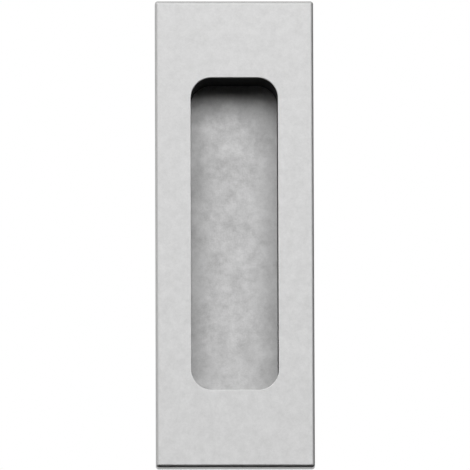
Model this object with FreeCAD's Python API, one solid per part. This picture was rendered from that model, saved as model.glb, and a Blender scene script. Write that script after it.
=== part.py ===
import FreeCAD, Part
import math
import os

# A pocket door pull with hidden fixing, in millimetres.
# The origin is the middle of its back, in the plane of the door's face.
# +Z is up, +X is to the right as one faces the door, and +Y goes into the door.

# Face cover: a pressed sheet with its four sides turned back to the door
plate_height = 150.0
plate_width = 50.0
stand_off = 4.0
cover_sheet = 0.8
edge_radius = 0.9
inside_edge_radius = 0.2

# Opening cut in the cover, which is the mouth of the finger recess
end_border = 24.75
side_border = 11.25
opening_corner_radius = 6.5
cut_edge_radius = 0.15

# Tub of the housing: the walls and floor of the recess, moulded in one with the frame
recess_depth = 12.0
mouth_set_back = 0.15
wall_draft_deg = 1.0
tub_wall = 1.6
tub_floor = 1.6
tub_bottom_radius = 2.0

# Frame of the housing: screwed to the door, and gripped by the sides of the cover
frame_clearance = 0.3
frame_corner_radius = 1.0
nib_length = 6.0
nib_lead_in = 0.8
nib_to_end = 25.0
nib_to_side = 13.0

# Recess plate: a steel sheet bonded to the floor of the tub
recess_plate_sheet = 0.8
recess_plate_clearance = 0.05
recess_plate_edge_radius = 0.1

# Wood screws through the housing into the door
screw_to_side = 10.0
screw_to_end = 11.0
screw_length = 16.0
neck_diameter = 2.4
neck_into_door = 0.5
thread_diameter = 3.5
head_diameter = 7.0
head_land = 0.25
head_angle_deg = 90.0
head_below_cover = 0.2
point_length = 5.0
screw_hole_clearance = 0.25
drive_width = 0.8
drive_span = 4.0
drive_floor_span = 2.2
drive_depth = 1.6

# How far a cutting shape runs past what it cuts
cut_past = 1.0

face_y = -stand_off
cover_back_y = face_y + cover_sheet
head_top_y = cover_back_y + head_below_cover
opening_width = plate_width - 2 * side_border
opening_height = plate_height - 2 * end_border
recess_floor_y = face_y + recess_depth
tub_floor_y = recess_floor_y + recess_plate_sheet
frame_width = plate_width - 2 * (cover_sheet + frame_clearance)
frame_height = plate_height - 2 * (cover_sheet + frame_clearance)
thread_radius = thread_diameter / 2
head_radius = head_diameter / 2
head_slope = math.tan(math.radians(head_angle_deg / 2))
into_door = FreeCAD.Vector(0, 1, 0)


def box_between(width, height, front, back):
    """A block centred on the Y axis, from one depth to another."""
    corner = FreeCAD.Vector(-width / 2, front, -height / 2)
    return Part.makeBox(width, back - front, height, corner)


def rounded_block(width, height, radius, front, back):
    """A block centred on the Y axis with its four long corners rounded."""
    block = box_between(width, height, front, back)
    corners = [edge for edge in block.Edges if lies_along_y(edge)]
    return block.makeFillet(radius, corners)


def lies_along_y(edge):
    return edge.BoundBox.YLength > 1e-6 and max(edge.BoundBox.XLength, edge.BoundBox.ZLength) < 1e-6


def flat_edges(shape, depth, width=math.inf, height=math.inf):
    """The edges that lie in the plane at this depth and stay inside this width and height."""
    found = []
    for edge in shape.Edges:
        box = edge.BoundBox
        in_plane = abs(box.YMin - depth) < 1e-6 and abs(box.YMax - depth) < 1e-6
        reach_x = max(abs(box.XMin), abs(box.XMax))
        reach_z = max(abs(box.ZMin), abs(box.ZMax))
        if in_plane and reach_x < width / 2 and reach_z < height / 2:
            found.append(edge)
    return found


def tub(width, height, radius, front, depth):
    """A solid with drafted walls: a rounded rectangle that narrows evenly towards its flat floor."""
    narrowing = depth * math.tan(math.radians(wall_draft_deg))
    back = front + depth
    straight_x = width / 2 - radius
    straight_z = height / 2 - radius
    body = wedge_along_z(width / 2, narrowing, front, back, straight_z)
    body = body.fuse(wedge_along_x(height / 2, narrowing, front, back, straight_x))
    for x in (-straight_x, straight_x):
        for z in (-straight_z, straight_z):
            foot = FreeCAD.Vector(x, front, z)
            body = body.fuse(Part.makeCone(radius, radius - narrowing, depth, foot, into_door))
    return body.removeSplitter()


def wedge_along_z(half_width, narrowing, front, back, half_length):
    """The part of the tub between its upper and lower corners."""
    corners = [
        FreeCAD.Vector(-half_width, front, -half_length),
        FreeCAD.Vector(half_width, front, -half_length),
        FreeCAD.Vector(half_width - narrowing, back, -half_length),
        FreeCAD.Vector(narrowing - half_width, back, -half_length),
    ]
    outline = Part.makePolygon(corners + corners[:1])
    return Part.Face(outline).extrude(FreeCAD.Vector(0, 0, 2 * half_length))


def wedge_along_x(half_height, narrowing, front, back, half_length):
    """The part of the tub between its left and right corners."""
    corners = [
        FreeCAD.Vector(-half_length, front, -half_height),
        FreeCAD.Vector(-half_length, front, half_height),
        FreeCAD.Vector(-half_length, back, half_height - narrowing),
        FreeCAD.Vector(-half_length, back, narrowing - half_height),
    ]
    outline = Part.makePolygon(corners + corners[:1])
    return Part.Face(outline).extrude(FreeCAD.Vector(2 * half_length, 0, 0))


def face_cover():
    """The pressed tray, open towards the door, with the mouth of the recess cut in its face."""
    tray = box_between(plate_width, plate_height, face_y, 0)
    struck = [edge for edge in tray.Edges if lies_along_y(edge)] + flat_edges(tray, face_y)
    tray = tray.makeFillet(edge_radius, struck)

    inside_width = plate_width - 2 * cover_sheet
    inside_height = plate_height - 2 * cover_sheet
    inside = box_between(inside_width, inside_height, cover_back_y, cut_past)
    bends = [edge for edge in inside.Edges if lies_along_y(edge)] + flat_edges(inside, cover_back_y)
    tray = tray.cut(inside.makeFillet(inside_edge_radius, bends))

    tray = tray.cut(rounded_block(opening_width, opening_height, opening_corner_radius,
                                  face_y - cut_past, cover_back_y + cut_past))
    rim = flat_edges(tray, face_y, opening_width + cover_sheet, opening_height + cover_sheet)
    return tray.makeFillet(cut_edge_radius, rim)


def housing():
    """One moulding: a frame behind the cover, with countersunk holes and side nibs, round a deep tub."""
    frame = rounded_block(frame_width, frame_height, frame_corner_radius, cover_back_y, 0)
    depth = tub_floor_y - cover_back_y
    wall_across = tub_wall / math.cos(math.radians(wall_draft_deg))
    outside = tub(*tub_mouth(wall_across), cover_back_y, depth + tub_floor)
    outside = outside.makeFillet(tub_bottom_radius, flat_edges(outside, tub_floor_y + tub_floor))
    moulding = frame.fuse(outside).removeSplitter()
    moulding = moulding.cut(tub(*tub_mouth(0), cover_back_y, depth))
    for x, z in screw_places().values():
        moulding = moulding.cut(screw_hole(x, z))
    for nib in nibs():
        moulding = moulding.fuse(nib)
    return moulding.removeSplitter()


def tub_mouth(thickness):
    """Width, height and corner radius of the tub where it meets the cover, this far out in its wall."""
    out = mouth_set_back + thickness
    return opening_width + 2 * out, opening_height + 2 * out, opening_corner_radius + out


def recess_plate():
    """The plate that shows as the floor of the recess, cut to the tub's floor with a little clearance."""
    width, height, radius = tub_mouth(0)
    inset = (tub_floor_y - cover_back_y) * math.tan(math.radians(wall_draft_deg)) + recess_plate_clearance
    plate = rounded_block(width - 2 * inset, height - 2 * inset, radius - inset, recess_floor_y, tub_floor_y)
    return plate.makeFillet(recess_plate_edge_radius, flat_edges(plate, recess_floor_y))


def screw_hole(x, z):
    """A clearance hole with a countersink on which the cone of the screw's head seats."""
    seat_top_radius = head_radius + (head_land + head_below_cover) * head_slope
    hole_radius = thread_radius + screw_hole_clearance
    seat_depth = (seat_top_radius - hole_radius) / head_slope
    top = FreeCAD.Vector(x, cover_back_y, z)
    seat = Part.makeCone(seat_top_radius, hole_radius, seat_depth, top, into_door)
    hole = Part.makeCylinder(hole_radius, stand_off + cut_past, top, into_door)
    return seat.fuse(hole)


def nibs():
    """The small pads round the frame that fill its clearance and grip the sides of the cover."""
    up = plate_height / 2 - nib_to_end
    across = plate_width / 2 - nib_to_side
    places = []
    for turn in (0, 180):
        places += [(turn, frame_width / 2, along) for along in (-up, 0, up)]
    for turn in (90, 270):
        places += [(turn, frame_height / 2, along) for along in (-across, across)]
    return [nib(turn, reach, along) for turn, reach, along in places]


def nib(turn, reach, along):
    """One pad, reach out from the middle, with a slope that leads the cover on to it."""
    start = along - nib_length / 2
    outline = Part.makePolygon([
        FreeCAD.Vector(reach - frame_clearance, cover_back_y + nib_lead_in, start),
        FreeCAD.Vector(reach, cover_back_y + nib_lead_in, start),
        FreeCAD.Vector(reach + frame_clearance, cover_back_y + 2 * nib_lead_in, start),
        FreeCAD.Vector(reach + frame_clearance, 0, start),
        FreeCAD.Vector(reach - frame_clearance, 0, start),
        FreeCAD.Vector(reach - frame_clearance, cover_back_y + nib_lead_in, start),
    ])
    pad = Part.Face(outline).extrude(FreeCAD.Vector(0, 0, nib_length))
    pad.rotate(FreeCAD.Vector(0, 0, 0), into_door, turn)
    return pad


def wood_screw(x, z):
    """A countersunk wood screw with a cross recess and a plain neck. Its threads fill their outer form."""
    neck_radius = neck_diameter / 2
    cone_depth = (head_radius - neck_radius) / head_slope
    tip_y = head_top_y + screw_length
    outline = Part.makePolygon([
        FreeCAD.Vector(x, head_top_y, z),
        FreeCAD.Vector(x + head_radius, head_top_y, z),
        FreeCAD.Vector(x + head_radius, head_top_y + head_land, z),
        FreeCAD.Vector(x + neck_radius, head_top_y + head_land + cone_depth, z),
        FreeCAD.Vector(x + neck_radius, neck_into_door, z),
        FreeCAD.Vector(x + thread_radius, neck_into_door, z),
        FreeCAD.Vector(x + thread_radius, tip_y - point_length, z),
        FreeCAD.Vector(x, tip_y, z),
        FreeCAD.Vector(x, head_top_y, z),
    ])
    screw = Part.Face(outline).revolve(FreeCAD.Vector(x, 0, z), into_door, 360)
    for turn in (45, 135):
        screw = screw.cut(drive_slot(x, z, turn))
    return screw


def drive_slot(x, z, turn):
    """One arm of the cross recess, which narrows towards its floor."""
    start = z - drive_width / 2
    top = head_top_y - cut_past
    outline = Part.makePolygon([
        FreeCAD.Vector(x - drive_span / 2, top, start),
        FreeCAD.Vector(x + drive_span / 2, top, start),
        FreeCAD.Vector(x + drive_span / 2, head_top_y, start),
        FreeCAD.Vector(x + drive_floor_span / 2, head_top_y + drive_depth, start),
        FreeCAD.Vector(x - drive_floor_span / 2, head_top_y + drive_depth, start),
        FreeCAD.Vector(x - drive_span / 2, head_top_y, start),
        FreeCAD.Vector(x - drive_span / 2, top, start),
    ])
    slot = Part.Face(outline).extrude(FreeCAD.Vector(0, 0, drive_width))
    slot.rotate(FreeCAD.Vector(x, 0, z), into_door, turn)
    return slot


def screw_places():
    """Where each screw goes, with its left and right as one faces the door."""
    across = plate_width / 2 - screw_to_side
    up = plate_height / 2 - screw_to_end
    return {
        "screw_upper_left": (-across, up),
        "screw_upper_right": (across, up),
        "screw_lower_left": (-across, -up),
        "screw_lower_right": (across, -up),
    }


pieces = {
    "face_cover": face_cover(),
    "housing": housing(),
    "recess_plate": recess_plate(),
}
for name, (x, z) in screw_places().items():
    pieces[name] = wood_screw(x, z)

os.makedirs("parts", exist_ok=True)
for name, shape in pieces.items():
    shape.exportStep("parts/" + name + ".step")
    print(name, round(shape.Volume, 2), "mm3, valid", shape.isValid())
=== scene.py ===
import math

import bmesh
import bpy
import numpy as np
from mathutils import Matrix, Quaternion, Vector


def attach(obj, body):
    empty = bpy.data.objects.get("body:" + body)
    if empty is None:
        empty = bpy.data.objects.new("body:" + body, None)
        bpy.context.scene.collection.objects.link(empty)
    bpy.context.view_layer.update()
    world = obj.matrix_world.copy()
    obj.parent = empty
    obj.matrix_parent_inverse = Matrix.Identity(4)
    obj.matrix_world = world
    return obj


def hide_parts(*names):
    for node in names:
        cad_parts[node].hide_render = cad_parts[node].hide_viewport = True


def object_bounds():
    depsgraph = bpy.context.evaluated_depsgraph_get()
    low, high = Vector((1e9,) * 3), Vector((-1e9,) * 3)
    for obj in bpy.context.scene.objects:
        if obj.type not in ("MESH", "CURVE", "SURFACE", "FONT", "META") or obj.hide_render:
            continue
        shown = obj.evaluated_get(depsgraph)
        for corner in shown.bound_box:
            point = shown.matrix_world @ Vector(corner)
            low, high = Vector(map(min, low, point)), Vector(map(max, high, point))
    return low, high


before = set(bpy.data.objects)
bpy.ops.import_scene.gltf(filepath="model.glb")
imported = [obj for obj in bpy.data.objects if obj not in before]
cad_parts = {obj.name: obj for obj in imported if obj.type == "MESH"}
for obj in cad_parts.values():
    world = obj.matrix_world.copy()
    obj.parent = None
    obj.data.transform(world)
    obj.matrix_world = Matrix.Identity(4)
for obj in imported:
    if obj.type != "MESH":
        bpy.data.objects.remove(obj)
cad_low, cad_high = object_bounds()


# Face cover
# Pressed from 0.8 mm stainless steel, with its sides turned back to the door and the mouth of the
# recess cut in it. It is ground to a soft satin, with painted shade darkening it where the sheet
# bends, and it presses over the nibs of the housing.

COVER_STEEL_COLOURS = ("#CACACA", "#DEDEDE")
COVER_ROUGHNESS = (0.50, 0.62)
COVER_MOTTLE_SIZE = 3e-3
COVER_GRAIN_LENGTH = 2.5e-3
COVER_GRAIN_HEIGHT = 7e-6
MOTTLE_OCTAVES = 5.0
MOTTLE_OCTAVE_SHARE = 0.9
GRAIN_WIDTH = 0.5e-3  # ten times the real 0.05 mm, which is too fine to show
GRAIN_OCTAVES = 2.0
NOISE_SPAN = {"From Min": 0.3, "From Max": 0.7}  # where most of a noise texture's values lie
BEND_AT_SIDES = 0.9e-3
BEND_AT_ENDS = 0.95e-3
BEND_DEPTH = 0.9e-3
BEND_BLEND = 0.3e-3
# painted shade: the darker colour the steel takes where the sheet bends
BEND_PAINTED_SHADE_COLOUR = "#A8A8A8"


def linear(hex_colour):
    """The linear colour of an sRGB hex value: each channel goes through the sRGB curve."""
    channels = [int(hex_colour[i:i + 2], 16) / 255 for i in (1, 3, 5)]
    curve = [c / 12.92 if c <= 0.04045 else ((c + 0.055) / 1.055) ** 2.4 for c in channels]
    return (*curve, 1.0)


def add(tree, kind, inputs=None, **settings):
    """Adds a node of this kind. Each input is a value, or a socket that is linked to it."""
    node = tree.nodes.new(kind)
    for name, value in settings.items():
        setattr(node, name, value)
    for name, value in (inputs or {}).items():
        if isinstance(value, bpy.types.NodeSocket):
            tree.links.new(value, node.inputs[name])
        else:
            node.inputs[name].default_value = value
    return node


def new_material(name):
    """A material with only its output, ready for a shader."""
    material = bpy.data.materials.new(name)
    material.use_nodes = True
    material.node_tree.nodes.clear()
    return material, material.node_tree


def stretched_noise(tree, size, detail, along=1.0, octave_share=0.5):
    """Noise on Object coordinates: blobs of this size, along times as long in Z, with finer octaves."""
    place = add(tree, "ShaderNodeTexCoord").outputs["Object"]
    scale = (1 / size, 1 / size, 1 / (size * along))
    place = add(tree, "ShaderNodeMapping", {"Vector": place, "Scale": scale}).outputs["Vector"]
    inputs = {"Vector": place, "Scale": 1.0, "Detail": detail, "Roughness": octave_share}
    return add(tree, "ShaderNodeTexNoise", inputs).outputs["Fac"]


def satin_stainless_steel(name, colours, roughness, mottle_size, grain_length, grain_height):
    """Satin steel: its tone and sheen are mottled at several sizes, over a fine grain."""
    material, tree = new_material(name)
    mottle = stretched_noise(tree, mottle_size, MOTTLE_OCTAVES, octave_share=MOTTLE_OCTAVE_SHARE)
    mottle = add(tree, "ShaderNodeMapRange", {"Value": mottle, **NOISE_SPAN}).outputs["Result"]
    first, second = map(linear, colours)
    tone = add(tree, "ShaderNodeMix", {"Factor": mottle, "A": first, "B": second}, data_type="RGBA")
    low, high = roughness
    sheen = add(tree, "ShaderNodeMapRange", {"Value": mottle, "To Min": low, "To Max": high})
    grain = stretched_noise(tree, GRAIN_WIDTH, GRAIN_OCTAVES, along=grain_length / GRAIN_WIDTH)
    bump = add(tree, "ShaderNodeBump", {"Height": grain, "Distance": grain_height, "Strength": 1.0})
    steel = add(tree, "ShaderNodeBsdfPrincipled", {
        "Base Color": tone.outputs["Result"],
        "Metallic": 1.0,
        "Roughness": sheen.outputs["Result"],
        "Normal": bump.outputs["Normal"],
    })
    add(tree, "ShaderNodeOutputMaterial", {"Surface": steel.outputs["BSDF"]})
    return material


def finish_node(name, material):
    """Gives a piece of the frame its finish and leaves its shape alone."""
    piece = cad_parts[name]
    for slot in piece.material_slots:
        slot.material = material


def paint_shade_on_bends(material):
    """Paints shade on the steel where it bends back to the sides, past the flat face and before the sides.

    The bend is the lesser of max(|x| - half width, |z| - half height) of the flat face and the
    distance in front of the sides, and the colour blends over BEND_BLEND of it.
    """
    tree = material.node_tree
    colour = tree.nodes["Principled BSDF"].inputs["Base Color"]
    place = add(tree, "ShaderNodeTexCoord").outputs["Object"]
    y = add(tree, "ShaderNodeSeparateXYZ", {"Vector": place}).outputs["Y"]
    mirrored = add(tree, "ShaderNodeVectorMath", {0: place}, operation="ABSOLUTE").outputs[0]
    flat_half = (cad_high[0] - BEND_AT_SIDES, 0.0, cad_high[2] - BEND_AT_ENDS)
    past = add(tree, "ShaderNodeVectorMath", {0: mirrored, 1: flat_half}, operation="SUBTRACT").outputs[0]
    past = add(tree, "ShaderNodeSeparateXYZ", {"Vector": past}).outputs
    past = add(tree, "ShaderNodeMath", {0: past["X"], 1: past["Z"]}, operation="MAXIMUM").outputs[0]
    side_front = cad_low[1] + BEND_DEPTH
    before = add(tree, "ShaderNodeMath", {0: side_front, 1: y}, operation="SUBTRACT").outputs[0]
    bend = add(tree, "ShaderNodeMath", {0: past, 1: before}, operation="MINIMUM").outputs[0]
    bend = add(tree, "ShaderNodeMapRange", {"Value": bend, "From Max": BEND_BLEND}).outputs["Result"]
    # painted shade: the bends take a darker colour than the flat face
    flat_tone, bend_painted_shade = colour.links[0].from_socket, linear(BEND_PAINTED_SHADE_COLOUR)
    tone = add(tree, "ShaderNodeMix", {"Factor": bend, "A": flat_tone, "B": bend_painted_shade}, data_type="RGBA")
    tree.links.new(tone.outputs["Result"], colour)
    return material


cover_steel = satin_stainless_steel("ground_stainless_steel", COVER_STEEL_COLOURS, COVER_ROUGHNESS,
                                    COVER_MOTTLE_SIZE, COVER_GRAIN_LENGTH, COVER_GRAIN_HEIGHT)
finish_node("face_cover", paint_shade_on_bends(cover_steel))


# Housing
# One moulding in black nylon with a fine spark-eroded texture: a frame that is screwed to the
# door behind the cover, and the walls and floor of the recess.

NYLON_COLOUR = "#151516"
NYLON_ROUGHNESS = 0.55
NYLON_TEXTURE_SIZE = 0.4e-3  # four times the real 0.1 mm, which is too fine to show
NYLON_TEXTURE_HEIGHT = 20e-6
NYLON_TEXTURE_OCTAVES = 2.0
NYLON_IOR = 1.53


def moulded_nylon():
    """Black nylon from a spark-eroded mould: a fine pebble texture and a soft sheen."""
    material, tree = new_material("moulded_black_nylon")
    pebbles = stretched_noise(tree, NYLON_TEXTURE_SIZE, NYLON_TEXTURE_OCTAVES)
    height = {"Height": pebbles, "Distance": NYLON_TEXTURE_HEIGHT, "Strength": 1.0}
    bump = add(tree, "ShaderNodeBump", height)
    nylon = add(tree, "ShaderNodeBsdfPrincipled", {
        "Base Color": linear(NYLON_COLOUR),
        "Roughness": NYLON_ROUGHNESS,
        "IOR": NYLON_IOR,
        "Normal": bump.outputs["Normal"],
    })
    add(tree, "ShaderNodeOutputMaterial", {"Surface": nylon.outputs["BSDF"]})
    return material


finish_node("housing", moulded_nylon())


# Recess plate
# Blanked from 0.8 mm stainless steel and bonded to the floor of the housing. It is bead blasted,
# which leaves it duller than the cover, with no direction to its grain and a cloudy tone.

PLATE_STEEL_COLOURS = ("#DADADA", "#CECECE")
PLATE_ROUGHNESS = (0.54, 0.74)
PLATE_MOTTLE_SIZE = 5e-3
PLATE_GRAIN_LENGTH = 0.5e-3
PLATE_GRAIN_HEIGHT = 24e-6

plate_steel = satin_stainless_steel("blasted_stainless_steel", PLATE_STEEL_COLOURS, PLATE_ROUGHNESS,
                                    PLATE_MOTTLE_SIZE, PLATE_GRAIN_LENGTH, PLATE_GRAIN_HEIGHT)
finish_node("recess_plate", plate_steel)


# Wood screws
# Four countersunk 3.5 x 16 mm screws hold the housing to the door. Each is steel with a rolled
# thread and a pressed cross recess, plated with bright zinc.

ZINC_COLOUR = "#C9CDD2"
ZINC_ROUGHNESS = (0.22, 0.34)
ZINC_CLOUD_SIZE = 1.5e-3
ZINC_CLOUD_OCTAVES = 3.0
SCREW_ACROSS = 15e-3
SCREW_UP = 64e-3
HEAD_TOP = -3e-3
HEAD_RADIUS = 3.5e-3
HEAD_EDGE = 0.12e-3
HEAD_LAND = 0.25e-3
NECK_RADIUS = 1.2e-3
THREAD_START = 0.5e-3
THREAD_RADIUS = 1.75e-3
THREAD_PITCH = 1.6e-3
TOOTH_SHARE = 0.56
THREAD_RUN_IN = 1.2e-3
THREAD_ROWS = 180
POINT_START = 8e-3
POINT_TIP = 13e-3
RECESS_SPAN = 2e-3
RECESS_FLOOR_SPAN = 1.1e-3
RECESS_ARM = 0.4e-3
RECESS_DEPTH = 1.6e-3
ARM_CORNER_DEG = math.degrees(math.atan(RECESS_ARM / RECESS_SPAN))
QUARTER_DEG = (0, 4, 8, ARM_CORNER_DEG, *range(15, 80, 5), 90 - ARM_CORNER_DEG, 82, 86)
SHARP_EDGE_DEG = 35
MERGE_DISTANCE = 1e-8
ABOVE_ZERO = 1e-9
SCREWS = {
    "screw_upper_left": (-1, 1),
    "screw_upper_right": (1, 1),
    "screw_lower_left": (-1, -1),
    "screw_lower_right": (1, -1),
}


def cross_outline(angle, span):
    """The edge of a cross recess, which is the further edge of two bars at 45 and 135 degrees."""
    reach = []
    for bar in (math.pi / 4, 3 * math.pi / 4):
        along = np.maximum(abs(np.cos(angle - bar)), ABOVE_ZERO)
        across = np.maximum(abs(np.sin(angle - bar)), ABOVE_ZERO)
        reach.append(np.minimum(span / along, RECESS_ARM / across))
    return np.maximum(*reach)


def screw_rings():
    """Rings round the screw's axis, from the floor of its recess over the head and down the thread.

    A thread ring's radius is core + (crest - core) * tooth. Tooth is a squared cosine of phase over
    TOOTH_SHARE of the pitch, and phase is depth / pitch - angle / turn, wrapped to -0.5 to 0.5.
    The crest rises over THREAD_RUN_IN, and everything tapers evenly from POINT_START to the tip.
    """
    angle = np.radians(np.concatenate([np.array(QUARTER_DEG) + 90 * k + 45 for k in range(4)]))
    ring = np.ones_like(angle)
    rings = [
        (0 * ring, HEAD_TOP + RECESS_DEPTH),
        (cross_outline(angle, RECESS_FLOOR_SPAN), HEAD_TOP + RECESS_DEPTH),
        (cross_outline(angle, RECESS_SPAN), HEAD_TOP),
        ((HEAD_RADIUS - HEAD_EDGE) * ring, HEAD_TOP),
        (HEAD_RADIUS * ring, HEAD_TOP + HEAD_EDGE),
        (HEAD_RADIUS * ring, HEAD_TOP + HEAD_LAND),
        (NECK_RADIUS * ring, HEAD_TOP + HEAD_LAND + HEAD_RADIUS - NECK_RADIUS),
        (NECK_RADIUS * ring, THREAD_START),
    ]
    run = np.linspace(THREAD_START, POINT_TIP, THREAD_ROWS)[1:, None]
    phase = (run / THREAD_PITCH - angle / (2 * math.pi) + 0.5) % 1 - 0.5
    tooth = np.cos(math.pi * np.clip(phase / TOOTH_SHARE, -0.5, 0.5)) ** 2
    rise = np.clip((run - THREAD_START) / THREAD_RUN_IN, 0, 1)
    taper = np.clip((POINT_TIP - run) / (POINT_TIP - POINT_START), 0, 1)
    thread = (NECK_RADIUS + (THREAD_RADIUS - NECK_RADIUS) * tooth * rise) * taper
    radius = np.vstack([row[0] for row in rings] + [thread])
    depth = np.vstack([row[1] * ring for row in rings] + [run * ring])
    return radius * np.cos(angle), depth, radius * np.sin(angle)


def closed_rings(name, rings, sharp_deg):
    """A mesh from an array of ring by point by XYZ. Each ring joins the next and closes on itself."""
    count, around = rings.shape[:2]
    first = np.arange(count - 1)[:, None] * around
    here = np.arange(around)
    onward = (here + 1) % around
    second = first + around
    faces = np.stack([first + here, second + here, second + onward, first + onward], axis=2)
    mesh = bpy.data.meshes.new(name)
    mesh.from_pydata(rings.reshape(-1, 3).tolist(), [], faces.reshape(-1, 4).tolist())
    merged = bmesh.new()
    merged.from_mesh(mesh)
    bmesh.ops.remove_doubles(merged, verts=merged.verts, dist=MERGE_DISTANCE)
    merged.to_mesh(mesh)
    merged.free()
    mesh.shade_smooth()
    mesh.set_sharp_from_angle(angle=math.radians(sharp_deg))
    return mesh


def bright_zinc():
    """Bright zinc plating: a light bluish metal, a little uneven from the tumbling barrel."""
    material, tree = new_material("bright_zinc_plating")
    clouds = stretched_noise(tree, ZINC_CLOUD_SIZE, ZINC_CLOUD_OCTAVES)
    low, high = ZINC_ROUGHNESS
    sheen = add(tree, "ShaderNodeMapRange", {"Value": clouds, **NOISE_SPAN, "To Min": low, "To Max": high})
    zinc = add(tree, "ShaderNodeBsdfPrincipled", {
        "Base Color": linear(ZINC_COLOUR),
        "Metallic": 1.0,
        "Roughness": sheen.outputs["Result"],
    })
    add(tree, "ShaderNodeOutputMaterial", {"Surface": zinc.outputs["BSDF"]})
    return material


zinc = bright_zinc()
x, depth, z = screw_rings()
for node, (side, end) in SCREWS.items():
    rings = np.stack([side * SCREW_ACROSS + x, depth, end * SCREW_UP + z], axis=2)
    mesh = closed_rings(node + "_threaded", rings, SHARP_EDGE_DEG)
    mesh.materials.append(zinc)
    screw = bpy.data.objects.new(node + "_threaded", mesh)
    bpy.context.scene.collection.objects.link(screw)
    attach(screw, "root")
    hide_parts(node)


# Floor, background and light
# A pale floor far below, a white surround, and one large soft lamp in front and above. Black cards
# in front of the pull, below it and at its right give the steel its dark edges, and only
# reflections see them.

FLOOR_DROP = 3.0
FLOOR_SIZE = 40.0
FLOOR_COLOUR = "#F2F2F2"
SURROUND_COLOUR = "#FFFFFF"
SURROUND_LIGHT = 0.5
LAMP_DISTANCE = 4.0
LAMP_ELEVATION_DEG = 38.5
LAMP_LEFT_DEG = 18.0
LAMP_WIDTH = 15.0
LAMP_HEIGHT = 2.5
LAMP_WATTS = 227.0
CARD_COLOUR = "#181818"
CARDS = {
    "front_card": ((0, -5.0, -0.2), (0, 1, 0), 14.0, 2.4),
    "lower_card": ((0, -1.0, -0.5), (0, 0, 1), 2.4, 2.6),
    "right_card": ((2.0, -0.1, 0.0), (-1, 0, 0), 2.2, 2.0),
}


def ray_is(tree, *kinds):
    """1 for a ray of one of these kinds and 0 for any other."""
    path = add(tree, "ShaderNodeLightPath").outputs
    total = path[kinds[0]]
    for kind in kinds[1:]:
        total = add(tree, "ShaderNodeMath", {0: total, 1: path[kind]}, operation="MAXIMUM").outputs[0]
    return total


def stage_plane(name, centre, normal, width, height, material):
    """A flat sheet facing along its normal: centre + a * side + b * up, for a and b over a rectangle."""
    normal = np.array(normal, float)
    side = np.cross((0, 1, 0) if normal[2] else (0, 0, 1), normal)
    up = np.cross(normal, side)
    square = np.array([(-1, -1), (1, -1), (1, 1), (-1, 1)]) / 2
    corners = np.array(centre) + square[:, :1] * width * side + square[:, 1:] * height * up
    mesh = bpy.data.meshes.new(name)
    mesh.from_pydata(corners.tolist(), [], [(0, 1, 2, 3)])
    mesh.materials.append(material)
    sheet = bpy.data.objects.new(name, mesh)
    bpy.context.scene.collection.objects.link(sheet)
    return sheet


def black_card():
    """Matt black card."""
    material, tree = new_material("black_card")
    matt = add(tree, "ShaderNodeBsdfDiffuse", {"Color": linear(CARD_COLOUR)})
    add(tree, "ShaderNodeOutputMaterial", {"Surface": matt.outputs["BSDF"]})
    return material


def floor_paper():
    """Matt pale paper, which a reflection or a refraction sees as plain white."""
    material, tree = new_material("floor_paper")
    matt = add(tree, "ShaderNodeBsdfDiffuse", {"Color": linear(FLOOR_COLOUR)})
    white = add(tree, "ShaderNodeEmission", {"Strength": 1.0})
    paper = add(tree, "ShaderNodeMixShader", {
        0: ray_is(tree, "Is Glossy Ray", "Is Transmission Ray"),
        1: matt.outputs["BSDF"],
        2: white.outputs["Emission"],
    })
    add(tree, "ShaderNodeOutputMaterial", {"Surface": paper.outputs["Shader"]})
    return material


stage_plane("floor", (0, 0, -FLOOR_DROP), (0, 0, 1), FLOOR_SIZE, FLOOR_SIZE, floor_paper())
card_finish = black_card()
for name, (centre, normal, width, height) in CARDS.items():
    card = stage_plane(name, centre, normal, width, height, card_finish)
    card.visible_camera = False
    card.visible_diffuse = False
    card.visible_shadow = False


# The surround gives half its strength to what it only lights, and is plain white wherever it is seen.

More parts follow.
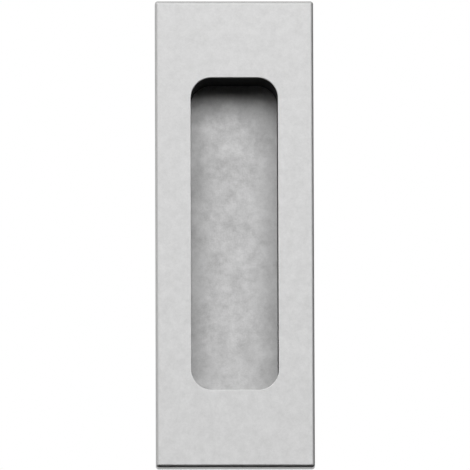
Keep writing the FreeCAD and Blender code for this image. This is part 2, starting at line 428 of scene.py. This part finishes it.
surround = bpy.data.worlds.new("white_surround")
bpy.context.scene.world = surround
surround.use_nodes = True
tree = surround.node_tree
tree.nodes.clear()
seen = ray_is(tree, "Is Camera Ray", "Is Glossy Ray", "Is Transmission Ray")
strength = add(tree, "ShaderNodeMapRange", {"Value": seen, "To Min": SURROUND_LIGHT, "To Max": 1.0})
white = add(tree, "ShaderNodeBackground", {
    "Color": linear(SURROUND_COLOUR),
    "Strength": strength.outputs["Result"],
})
add(tree, "ShaderNodeOutputWorld", {"Surface": white.outputs["Background"]})


def direction(left_deg, elevation_deg):
    """The way from the pull to a place in front of it, turned to the left and then raised."""
    left, rise = math.radians(left_deg), math.radians(elevation_deg)
    return Vector((-math.sin(left) * math.cos(rise), -math.cos(left) * math.cos(rise), math.sin(rise)))


lamp_data = bpy.data.lights.new("soft_lamp", "AREA")
lamp_data.shape = "RECTANGLE"
lamp_data.size = LAMP_WIDTH
lamp_data.size_y = LAMP_HEIGHT
lamp_data.energy = LAMP_WATTS
lamp = bpy.data.objects.new("soft_lamp", lamp_data)
bpy.context.scene.collection.objects.link(lamp)
towards_lamp = direction(LAMP_LEFT_DEG, LAMP_ELEVATION_DEG)
lamp.location = LAMP_DISTANCE * towards_lamp
lamp.rotation_mode = "QUATERNION"
lamp.rotation_quaternion = towards_lamp.to_track_quat("Z", "Y")


# Camera
# A long lens looks up at the pull from a little below it, as the photograph does.

LENS = 1500.0
SENSOR = 36.0
VIEW_WIDTH = 0.14803
CAMERA_BELOW_DEG = 11.8
CAMERA_LEFT_DEG = 0.8
ROLL_DEG = -0.19
AIM = (0.08e-3, -4e-3, -0.53e-3)
CLIP_START = 0.1

distance = VIEW_WIDTH * LENS / SENSOR
towards_camera = direction(CAMERA_LEFT_DEG, -CAMERA_BELOW_DEG)
roll = Quaternion((0, 0, 1), math.radians(ROLL_DEG))
camera_data = bpy.data.cameras.new("camera")
camera_data.lens = LENS
camera_data.sensor_width = SENSOR
camera_data.clip_start = CLIP_START
camera_data.clip_end = 4 * distance
camera = bpy.data.objects.new("camera", camera_data)
bpy.context.scene.collection.objects.link(camera)
bpy.context.scene.camera = camera
camera.location = Vector(AIM) + distance * towards_camera
camera.rotation_mode = "QUATERNION"
camera.rotation_quaternion = towards_camera.to_track_quat("Z", "Y") @ roll

bpy.context.scene.view_settings.view_transform = "Standard"
